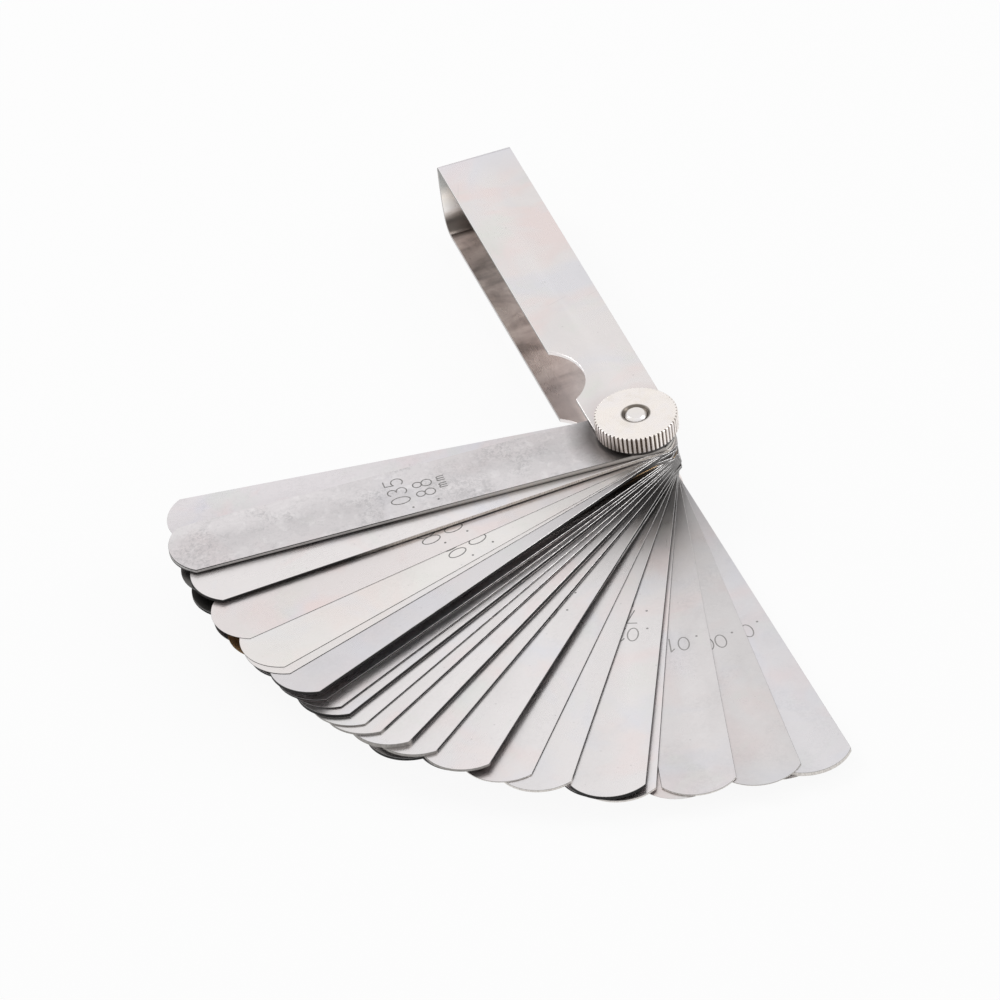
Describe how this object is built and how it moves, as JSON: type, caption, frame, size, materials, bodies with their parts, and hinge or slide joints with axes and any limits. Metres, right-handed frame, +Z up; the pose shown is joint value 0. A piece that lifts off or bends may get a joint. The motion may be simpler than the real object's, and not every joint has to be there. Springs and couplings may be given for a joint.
{
  "type": "feeler gauge",
  "caption": "Feeler gauge: fan of flat round-ended thickness leaves swinging on a threaded stud in a folded steel strip case, clamped by a round knurled nut.",
  "frame": {"origin": "on the pivot axis at the flat underside of the stud's head, the tool's lowest face", "axes": "+Z up along the pivot axis through the leaf stack to the nut, +Y along the case from the pivot to the fold, +X across the case, away from the thumb notch"},
  "size_m": [0.0928, 0.1744, 0.0189],
  "materials": {
    "case_steel": "satin, lightly stained",
    "leaf_steel": "satin spring steel, lightly oiled",
    "leaf_brass": "satin",
    "nut_nickel": "satin nickel plate",
    "stud_steel": "turned, nickel plated",
    "washer_steel": "plain"
  },
  "bodies": {
    "case": {"strip_case": "case_steel", "pivot_stud": "stud_steel"},
    "nut_washer_ring": {"nut_washer": "washer_steel"},
    "nut": {"knurled_nut": "nut_nickel"},
    "swing_leaf_0p88mm": {"leaf_0p88mm": "leaf_steel"},
    "swing_leaf_0p05mm": {"leaf_0p05mm": "leaf_steel"},
    "swing_leaf_0p60mm": {"leaf_0p60mm": "leaf_steel"},
    "swing_leaf_0p18mm": {"leaf_0p18mm": "leaf_steel"},
    "swing_leaf_0p06mm": {"leaf_0p06mm": "leaf_steel"},
    "swing_leaf_0p08mm": {"leaf_0p08mm": "leaf_steel"},
    "swing_leaf_0p10mm": {"leaf_0p10mm": "leaf_steel"},
    "swing_leaf_0p63mm": {"leaf_0p63mm": "leaf_steel"},
    "swing_leaf_0p45mm": {"leaf_0p45mm": "leaf_steel"},
    "swing_leaf_0p53mm": {"leaf_0p53mm": "leaf_steel"},
    "swing_leaf_0p25mm_brass": {"leaf_0p25mm_brass": "leaf_brass"},
    "swing_leaf_0p13mm": {"leaf_0p13mm": "leaf_steel"},
    "swing_leaf_0p35mm": {"leaf_0p35mm": "leaf_steel"},
    "swing_leaf_0p30mm": {"leaf_0p30mm": "leaf_steel"},
    "swing_leaf_0p65mm": {"leaf_0p65mm": "leaf_steel"},
    "swing_leaf_0p28mm": {"leaf_0p28mm": "leaf_steel"},
    "swing_leaf_0p43mm": {"leaf_0p43mm": "leaf_steel"},
    "swing_leaf_0p80mm": {"leaf_0p80mm": "leaf_steel"},
    "swing_leaf_0p55mm": {"leaf_0p55mm": "leaf_steel"},
    "swing_leaf_0p50mm": {"leaf_0p50mm": "leaf_steel"},
    "swing_leaf_0p58mm": {"leaf_0p58mm": "leaf_steel"},
    "swing_leaf_0p23mm": {"leaf_0p23mm": "leaf_steel"},
    "swing_leaf_0p25mm": {"leaf_0p25mm": "leaf_steel"},
    "swing_leaf_0p48mm": {"leaf_0p48mm": "leaf_steel"},
    "swing_leaf_0p70mm": {"leaf_0p70mm": "leaf_steel"},
    "swing_leaf_0p38mm": {"leaf_0p38mm": "leaf_steel"},
    "swing_leaf_0p40mm": {"leaf_0p40mm": "leaf_steel"},
    "swing_leaf_0p33mm": {"leaf_0p33mm": "leaf_steel"},
    "swing_leaf_0p04mm": {"leaf_0p04mm": "leaf_steel"},
    "swing_leaf_0p20mm": {"leaf_0p20mm": "leaf_steel"},
    "swing_leaf_0p75mm": {"leaf_0p75mm": "leaf_steel"},
    "swing_leaf_0p15mm": {"leaf_0p15mm": "leaf_steel"}
  },
  "joints": [
    {"name": "nut_lift", "type": "slide", "parent": "case", "child": "nut_washer_ring", "axis": [0, 0, 1], "range_m": [0, 0.00141]},
    {"name": "nut_spin", "type": "hinge", "parent": "nut_washer_ring", "child": "nut", "pos_m": [0, 0, 0], "axis": [0, 0, 1], "range_deg": [0, 720]},
    {"name": "leaf_0p88mm_swing", "type": "hinge", "parent": "case", "child": "swing_leaf_0p88mm", "pos_m": [0, 0, 0], "axis": [0, 0, 1], "range_deg": [-87.2, 272.8]},
    {"name": "leaf_0p05mm_swing", "type": "hinge", "parent": "case", "child": "swing_leaf_0p05mm", "pos_m": [0, 0, 0], "axis": [0, 0, 1], "range_deg": [-81.2, 278.8]},
    {"name": "leaf_0p60mm_swing", "type": "hinge", "parent": "case", "child": "swing_leaf_0p60mm", "pos_m": [0, 0, 0], "axis": [0, 0, 1], "range_deg": [-93.3, 266.7]},
    {"name": "leaf_0p18mm_swing", "type": "hinge", "parent": "case", "child": "swing_leaf_0p18mm", "pos_m": [0, 0, 0], "axis": [0, 0, 1], "range_deg": [-91.2, 268.8]},
    {"name": "leaf_0p06mm_swing", "type": "hinge", "parent": "case", "child": "swing_leaf_0p06mm", "pos_m": [0, 0, 0], "axis": [0, 0, 1], "range_deg": [-101.05, 258.95]},
    {"name": "leaf_0p08mm_swing", "type": "hinge", "parent": "case", "child": "swing_leaf_0p08mm", "pos_m": [0, 0, 0], "axis": [0, 0, 1], "range_deg": [-108.14, 251.86]},
    {"name": "leaf_0p10mm_swing", "type": "hinge", "parent": "case", "child": "swing_leaf_0p10mm", "pos_m": [0, 0, 0], "axis": [0, 0, 1], "range_deg": [-109.5, 250.5]},
    {"name": "leaf_0p63mm_swing", "type": "hinge", "parent": "case", "child": "swing_leaf_0p63mm", "pos_m": [0, 0, 0], "axis": [0, 0, 1], "range_deg": [-114.55, 245.45]},
    {"name": "leaf_0p45mm_swing", "type": "hinge", "parent": "case", "child": "swing_leaf_0p45mm", "pos_m": [0, 0, 0], "axis": [0, 0, 1], "range_deg": [-110, 250]},
    {"name": "leaf_0p53mm_swing", "type": "hinge", "parent": "case", "child": "swing_leaf_0p53mm", "pos_m": [0, 0, 0], "axis": [0, 0, 1], "range_deg": [-94.4, 265.6]},
    {"name": "leaf_0p25mm_brass_swing", "type": "hinge", "parent": "case", "child": "swing_leaf_0p25mm_brass", "pos_m": [0, 0, 0], "axis": [0, 0, 1], "range_deg": [-104.2, 255.8]},
    {"name": "leaf_0p13mm_swing", "type": "hinge", "parent": "case", "child": "swing_leaf_0p13mm", "pos_m": [0, 0, 0], "axis": [0, 0, 1], "range_deg": [-100.6, 259.4]},
    {"name": "leaf_0p35mm_swing", "type": "hinge", "parent": "case", "child": "swing_leaf_0p35mm", "pos_m": [0, 0, 0], "axis": [0, 0, 1], "range_deg": [-114.91, 245.09]},
    {"name": "leaf_0p30mm_swing", "type": "hinge", "parent": "case", "child": "swing_leaf_0p30mm", "pos_m": [0, 0, 0], "axis": [0, 0, 1], "range_deg": [-117, 243]},
    {"name": "leaf_0p65mm_swing", "type": "hinge", "parent": "case", "child": "swing_leaf_0p65mm", "pos_m": [0, 0, 0], "axis": [0, 0, 1], "range_deg": [-118.53, 241.47]},
    {"name": "leaf_0p28mm_swing", "type": "hinge", "parent": "case", "child": "swing_leaf_0p28mm", "pos_m": [0, 0, 0], "axis": [0, 0, 1], "range_deg": [-120.9, 239.1]},
    {"name": "leaf_0p43mm_swing", "type": "hinge", "parent": "case", "child": "swing_leaf_0p43mm", "pos_m": [0, 0, 0], "axis": [0, 0, 1], "range_deg": [-123.2, 236.8]},
    {"name": "leaf_0p80mm_swing", "type": "hinge", "parent": "case", "child": "swing_leaf_0p80mm", "pos_m": [0, 0, 0], "axis": [0, 0, 1], "range_deg": [-126.98, 233.02]},
    {"name": "leaf_0p55mm_swing", "type": "hinge", "parent": "case", "child": "swing_leaf_0p55mm", "pos_m": [0, 0, 0], "axis": [0, 0, 1], "range_deg": [-130.4, 229.6]},
    {"name": "leaf_0p50mm_swing", "type": "hinge", "parent": "case", "child": "swing_leaf_0p50mm", "pos_m": [0, 0, 0], "axis": [0, 0, 1], "range_deg": [-137.19, 222.81]},
    {"name": "leaf_0p58mm_swing", "type": "hinge", "parent": "case", "child": "swing_leaf_0p58mm", "pos_m": [0, 0, 0], "axis": [0, 0, 1], "range_deg": [-129.4, 230.6]},
    {"name": "leaf_0p23mm_swing", "type": "hinge", "parent": "case", "child": "swing_leaf_0p23mm", "pos_m": [0, 0, 0], "axis": [0, 0, 1], "range_deg": [-136.4, 223.6]},
    {"name": "leaf_0p25mm_swing", "type": "hinge", "parent": "case", "child": "swing_leaf_0p25mm", "pos_m": [0, 0, 0], "axis": [0, 0, 1], "range_deg": [-142.3, 217.7]},
    {"name": "leaf_0p48mm_swing", "type": "hinge", "parent": "case", "child": "swing_leaf_0p48mm", "pos_m": [0, 0, 0], "axis": [0, 0, 1], "range_deg": [-147.22, 212.78]},
    {"name": "leaf_0p70mm_swing", "type": "hinge", "parent": "case", "child": "swing_leaf_0p70mm", "pos_m": [0, 0, 0], "axis": [0, 0, 1], "range_deg": [-155.96, 204.04]},
    {"name": "leaf_0p38mm_swing", "type": "hinge", "parent": "case", "child": "swing_leaf_0p38mm", "pos_m": [0, 0, 0], "axis": [0, 0, 1], "range_deg": [-155.1, 204.9]},
    {"name": "leaf_0p40mm_swing", "type": "hinge", "parent": "case", "child": "swing_leaf_0p40mm", "pos_m": [0, 0, 0], "axis": [0, 0, 1], "range_deg": [-157.13, 202.87]},
    {"name": "leaf_0p33mm_swing", "type": "hinge", "parent": "case", "child": "swing_leaf_0p33mm", "pos_m": [0, 0, 0], "axis": [0, 0, 1], "range_deg": [-166.59, 193.41]},
    {"name": "leaf_0p04mm_swing", "type": "hinge", "parent": "case", "child": "swing_leaf_0p04mm", "pos_m": [0, 0, 0], "axis": [0, 0, 1], "range_deg": [-164.5, 195.5]},
    {"name": "leaf_0p20mm_swing", "type": "hinge", "parent": "case", "child": "swing_leaf_0p20mm", "pos_m": [0, 0, 0], "axis": [0, 0, 1], "range_deg": [-174.44, 185.56]},
    {"name": "leaf_0p75mm_swing", "type": "hinge", "parent": "case", "child": "swing_leaf_0p75mm", "pos_m": [0, 0, 0], "axis": [0, 0, 1], "range_deg": [-180.82, 179.18]},
    {"name": "leaf_0p15mm_swing", "type": "hinge", "parent": "case", "child": "swing_leaf_0p15mm", "pos_m": [0, 0, 0], "axis": [0, 0, 1], "range_deg": [-177.6, 182.4]}
  ],
  "couplings": [
    {"joint": "nut_lift", "follows": "nut_spin", "m_per_rad": 0.00011141}
  ]
}
